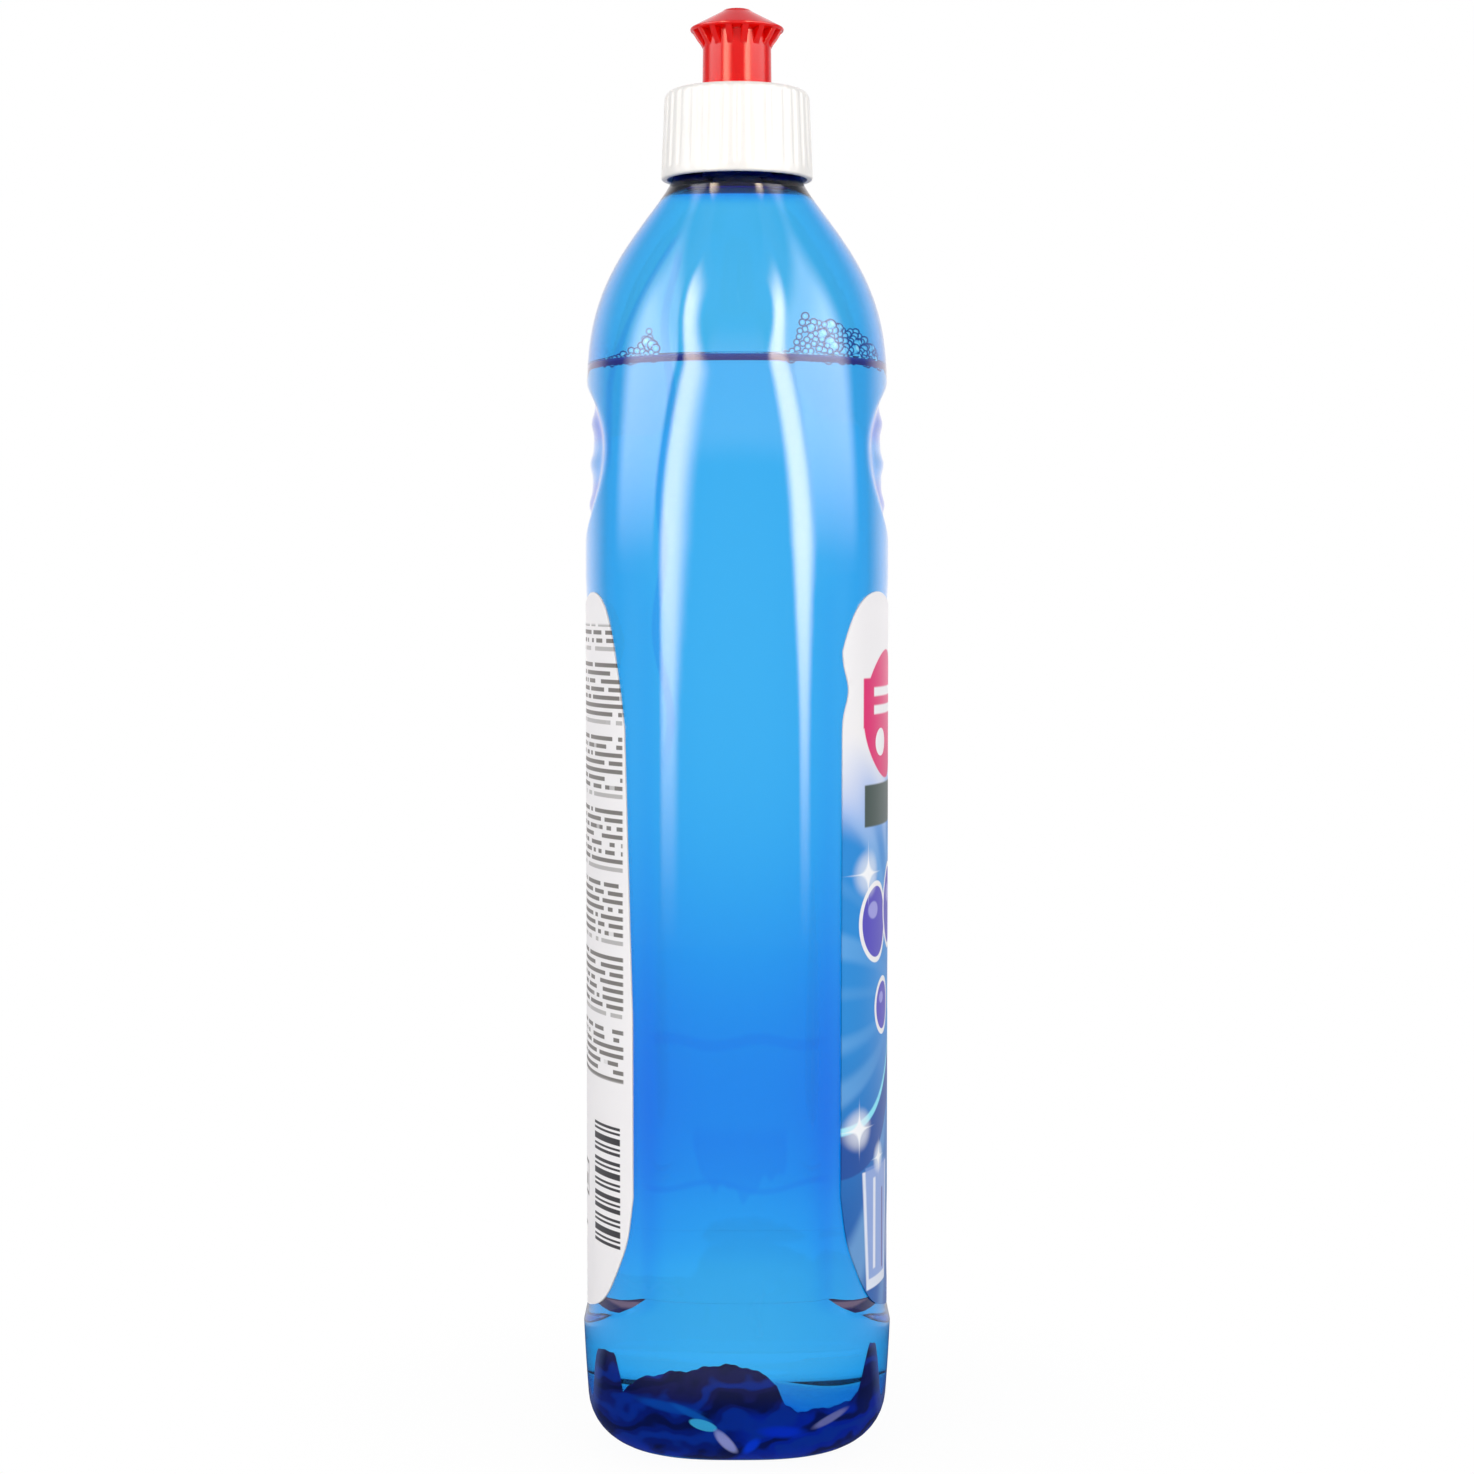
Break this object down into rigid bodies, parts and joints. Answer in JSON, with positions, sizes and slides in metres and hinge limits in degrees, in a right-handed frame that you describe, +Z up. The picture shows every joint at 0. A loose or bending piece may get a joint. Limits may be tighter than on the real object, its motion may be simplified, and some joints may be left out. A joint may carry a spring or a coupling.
{
  "type": "rinse aid bottle",
  "caption": "Clear blue blown bottle of rinse aid with sunk label panels, ribbed grip scoops, a white screw cap and a red push-pull spout.",
  "frame": {"origin": "middle of the foot, on the plane that the bottle stands on", "axes": "+Z up through the spout, X along the width of the label faces, the front label faces -Y and the back label +Y"},
  "size_m": [0.092, 0.064, 0.2947],
  "materials": {
    "blue_blown_plastic": "clear blue, glossy",
    "rinse_aid_liquid": "clear liquid with a faint blue tint",
    "white_cap_plastic": "satin white",
    "washer_foam": "matt foam",
    "red_spout_plastic": "glossy red",
    "front_label_film": "printed film, blue and white",
    "back_label_film": "printed film, white"
  },
  "bodies": {
    "filled_bottle": {"bottle": "blue_blown_plastic", "rinse_aid": "rinse_aid_liquid", "front_label": "front_label_film", "back_label": "back_label_film"},
    "washer": {"seal_washer": "washer_foam"},
    "screw_cap": {"cap": "white_cap_plastic"},
    "push_pull_spout": {"spout": "red_spout_plastic"}
  },
  "joints": [
    {"name": "cap_lift", "type": "slide", "parent": "filled_bottle", "child": "washer", "axis": [0, 0, 1], "range_m": [0, 0.0169]},
    {"name": "cap_turn", "type": "hinge", "parent": "washer", "child": "screw_cap", "pos_m": [0, 0, 0.2595], "axis": [0, 0, 1], "range_deg": [0, 1440]},
    {"name": "spout_pull", "type": "slide", "parent": "screw_cap", "child": "push_pull_spout", "axis": [0, 0, 1], "range_m": [0, 0.0048]}
  ],
  "couplings": [
    {"joint": "cap_lift", "follows": "cap_turn", "m_per_rad": 0.00066845}
  ]
}
